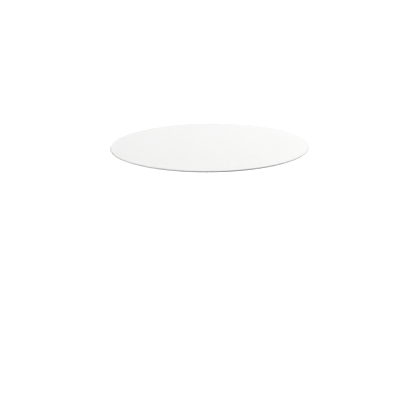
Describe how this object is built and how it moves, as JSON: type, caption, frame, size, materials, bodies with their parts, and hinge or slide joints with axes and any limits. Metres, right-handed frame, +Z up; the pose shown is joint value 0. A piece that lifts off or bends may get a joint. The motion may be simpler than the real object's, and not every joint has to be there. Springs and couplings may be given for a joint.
{
  "type": "filter paper disc",
  "caption": "Flat round disc of thick white filter paper with a clean punched edge, laid in a funnel or a filter holder to strain solids from a liquid.",
  "frame": {"origin": "centre of the flat underside, where the disc lies on a surface", "axes": "+Z up out of the smooth upper face, along the disc's axis of symmetry; +X and +Y lie in the underside, in any direction, because the disc is round"},
  "size_m": [0.055, 0.055, 0.0004],
  "materials": {
    "filter_paper": "matt, uncoated, bleached white, finely felted"
  },
  "bodies": {
    "root": {"filter_disc": "filter_paper"}
  },
  "joints": []
}
